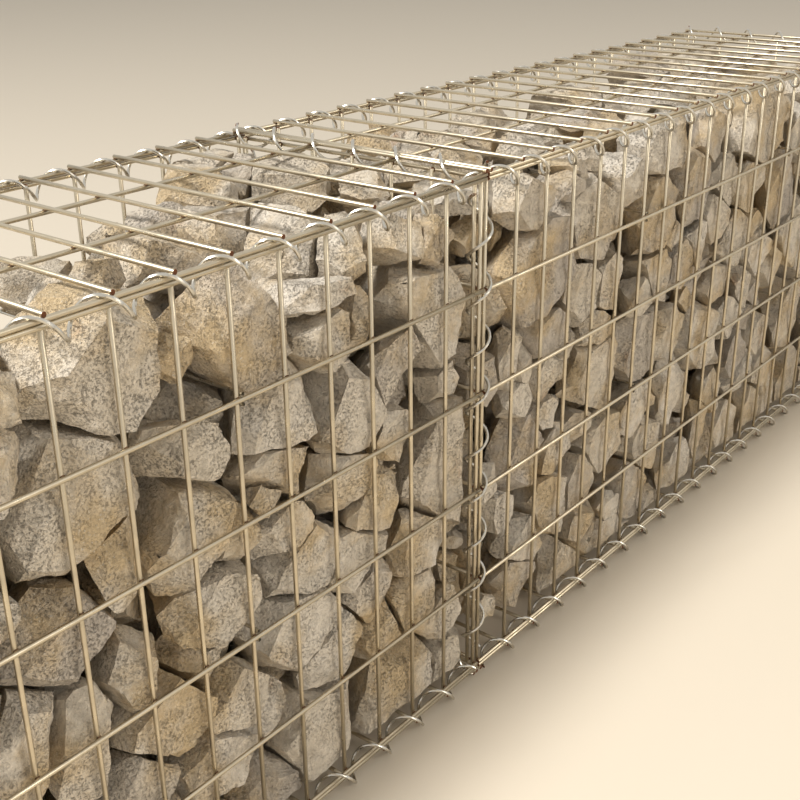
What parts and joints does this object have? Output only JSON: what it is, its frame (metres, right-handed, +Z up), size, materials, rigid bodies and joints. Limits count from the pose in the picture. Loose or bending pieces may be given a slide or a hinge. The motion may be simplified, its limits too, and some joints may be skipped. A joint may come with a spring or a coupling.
{
  "type": "gabion wall",
  "caption": "Low gabion wall of welded wire mesh baskets laced with wire spirals and filled with broken pale limestone.",
  "frame": {"origin": "on the ground, under the middle of the wall", "axes": "+X along the wall, -Y towards the front face, +Z up"},
  "size_m": [2.0408, 0.3247, 0.5327],
  "materials": {
    "mesh_wire": "galvanised, satin",
    "lacing_wire": "galvanised, bright",
    "limestone": "broken, matt"
  },
  "bodies": {
    "root": {"front_panel_1": "mesh_wire", "back_panel_1": "mesh_wire", "lid_panel_1": "mesh_wire", "base_panel_1": "mesh_wire", "top_front_spiral_1": "lacing_wire", "top_back_spiral_1": "lacing_wire", "bottom_front_spiral_1": "lacing_wire", "bottom_back_spiral_1": "lacing_wire", "ties_1": "lacing_wire", "stone_fill_1": "limestone", "front_panel_2": "mesh_wire", "back_panel_2": "mesh_wire", "lid_panel_2": "mesh_wire", "base_panel_2": "mesh_wire", "top_front_spiral_2": "lacing_wire", "top_back_spiral_2": "lacing_wire", "bottom_front_spiral_2": "lacing_wire", "bottom_back_spiral_2": "lacing_wire", "ties_2": "lacing_wire", "stone_fill_2": "limestone", "end_panel_left": "mesh_wire", "partition_1": "mesh_wire", "end_panel_right": "mesh_wire", "front_corner_spiral_1": "lacing_wire", "back_corner_spiral_1": "lacing_wire", "lid_seam_spiral_1": "lacing_wire", "base_seam_spiral_1": "lacing_wire", "front_corner_spiral_2": "lacing_wire", "back_corner_spiral_2": "lacing_wire", "lid_seam_spiral_2": "lacing_wire", "base_seam_spiral_2": "lacing_wire", "front_corner_spiral_3": "lacing_wire", "back_corner_spiral_3": "lacing_wire", "lid_seam_spiral_3": "lacing_wire", "base_seam_spiral_3": "lacing_wire"}
  },
  "joints": []
}
